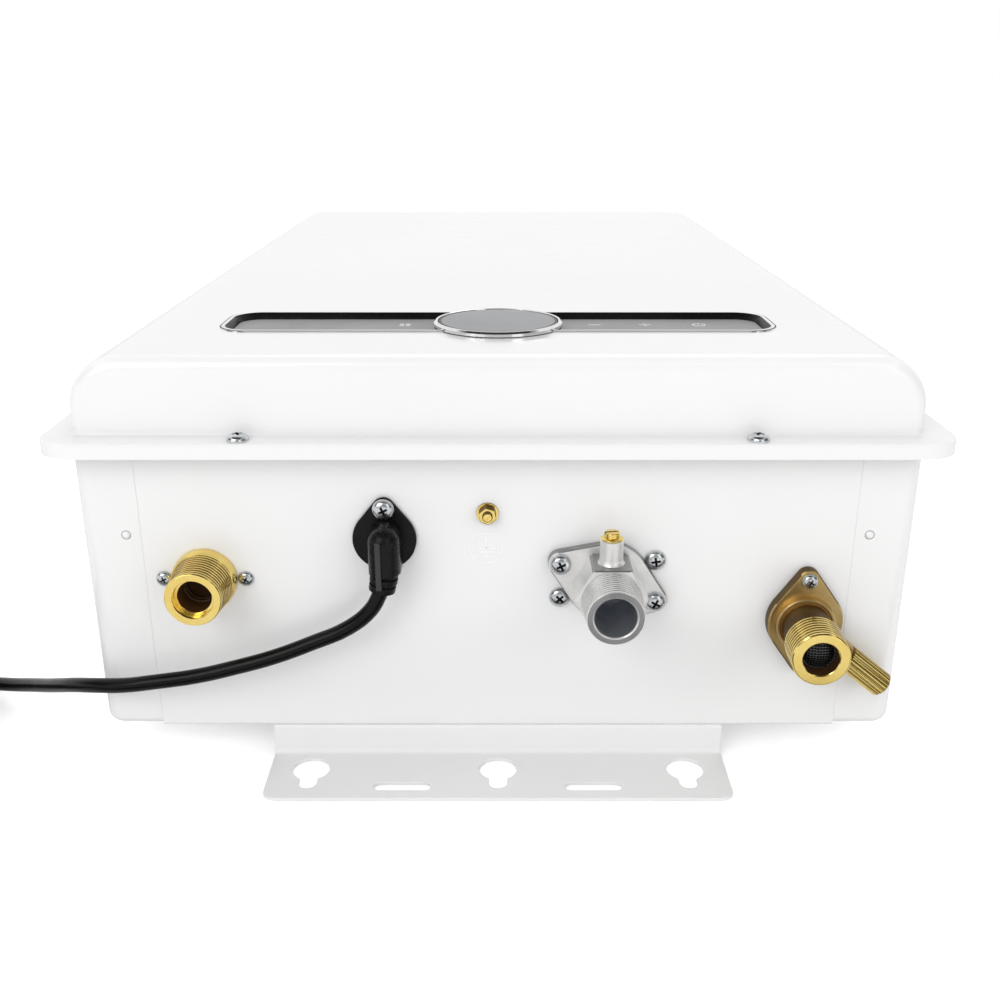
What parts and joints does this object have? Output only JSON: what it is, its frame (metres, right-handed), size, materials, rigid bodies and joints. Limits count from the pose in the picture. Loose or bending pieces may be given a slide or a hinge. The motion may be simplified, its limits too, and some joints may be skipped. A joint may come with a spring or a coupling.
{
  "type": "tankless gas water heater",
  "caption": "Flat wall-hung gas water heater: enamelled case and lift-off cover with a control strip, threaded water and gas connections, mains cord and flue collar.",
  "frame": {"origin": "on the wall plane under the brackets, in the middle of the heater's length and width", "axes": "+Z out of the front cover, -Y towards the end with the connections, +X to the right seen from there"},
  "size_m": [0.4925, 0.6426, 0.1702],
  "materials": {
    "white_enamel": "gloss white enamel on sheet steel",
    "bracket_paint": "satin white paint on sheet steel",
    "zinc_screw": "bright zinc plate",
    "seal_foam": "soft foam rubber",
    "chrome_trim": "bright chrome plate",
    "dark_fascia": "gloss dark grey acrylic",
    "display_glass": "smoked grey display cover",
    "dark_plastic": "moulded dark plastic",
    "circuit_board": "green solder mask",
    "turned_brass": "machined brass",
    "cast_bronze": "sand-cast brass with machined edges",
    "strainer_mesh": "fine woven wire",
    "valve_rubber": "moulded rubber",
    "cast_aluminium": "matte die-cast aluminium",
    "gland_plastic": "gloss black PVC",
    "cord_sheath": "black PVC sheath",
    "plug_brass": "plated brass",
    "galvanised_steel": "zinc-coated sheet",
    "copper": "drawn copper",
    "motor_black": "black motor paint",
    "pale_plastic": "moulded ivory plastic",
    "ceramic": "glazed ceramic"
  },
  "bodies": {
    "heater": {"rear_case": "white_enamel", "bottom_panel": "white_enamel", "top_panel": "white_enamel", "panel_rivets": "white_enamel", "lower_bracket": "bracket_paint", "upper_bracket": "bracket_paint", "bracket_rivets": "zinc_screw", "hot_outlet": "turned_brass", "hot_outlet_screws": "zinc_screw", "cold_inlet": "cast_bronze", "cold_inlet_screws": "zinc_screw", "inlet_strainer": "strainer_mesh", "gas_inlet": "cast_aluminium", "gas_inlet_screws": "zinc_screw", "earth_terminal": "turned_brass", "cord_gland": "gland_plastic", "gland_screw": "zinc_screw", "power_cord": "cord_sheath", "cord_coil": "cord_sheath", "cord_tie": "gland_plastic", "plug_body": "gland_plastic", "plug_pins": "plug_brass", "flue_collar": "galvanised_steel", "exhaust_hood": "galvanised_steel", "exchanger_jacket": "copper", "exchanger_fins": "copper", "exchanger_tube": "copper", "burner_box": "galvanised_steel", "burner_bars": "galvanised_steel", "gas_manifold": "cast_aluminium", "gas_injectors": "turned_brass", "gas_valve": "cast_aluminium", "valve_coil": "dark_plastic", "gas_pipe": "galvanised_steel", "blower_housing": "galvanised_steel", "blower_motor": "motor_black", "flow_sensor": "pale_plastic", "cold_pipe": "copper", "hot_pipe": "copper", "control_box": "dark_plastic", "main_board": "circuit_board", "ignition_module": "dark_plastic", "electrodes": "ceramic", "thermal_cutout": "dark_plastic", "burner_mounts": "galvanised_steel"},
    "cover": {"front_cover": "white_enamel", "cover_seal": "seal_foam", "cover_screws": "zinc_screw", "control_trim": "chrome_trim", "control_fascia": "dark_fascia", "display_ring": "chrome_trim", "display_lens": "display_glass", "control_housing": "dark_plastic", "display_board": "circuit_board"},
    "drain_valve": {"drain_seal": "valve_rubber"},
    "drain_knob": {"drain_knob": "turned_brass"},
    "test_screw": {"gas_test_screw": "turned_brass"},
    "fan": {"blower_wheel": "galvanised_steel"},
    "turbine": {"flow_turbine": "pale_plastic"},
    "plunger": {"valve_plunger": "zinc_screw"}
  },
  "joints": [
    {"name": "cover_lift", "type": "slide", "parent": "heater", "child": "cover", "axis": [0, 0, 1], "range_m": [0, 0.15]},
    {"name": "drain_travel", "type": "slide", "parent": "heater", "child": "drain_valve", "axis": [0.7771, 0, -0.6293], "range_m": [0, 0.003]},
    {"name": "drain_turn", "type": "hinge", "parent": "drain_valve", "child": "drain_knob", "pos_m": [0.12, -0.2649, 0.063], "axis": [0.7771, 0, -0.6293], "range_deg": [0, 1080]},
    {"name": "test_screw_turn", "type": "hinge", "parent": "heater", "child": "test_screw", "pos_m": [0.0425, -0.27, 0.1], "axis": [0, 0, 1], "range_deg": [0, 360]},
    {"name": "fan_spin", "type": "hinge", "parent": "heater", "child": "fan", "pos_m": [-0.028, -0.095, 0.06], "axis": [0, 0, 1], "continuous": true},
    {"name": "turbine_spin", "type": "hinge", "parent": "heater", "child": "turbine", "pos_m": [0.12, -0.2395, 0.063], "axis": [0, 1, 0], "continuous": true},
    {"name": "plunger_lift", "type": "slide", "parent": "heater", "child": "plunger", "axis": [0, 0, 1], "range_m": [0, 0.004], "stiffness_N_per_m": 200, "springref_m": -0.004}
  ],
  "couplings": [
    {"joint": "drain_travel", "follows": "drain_turn", "m_per_rad": 0.000159}
  ]
}
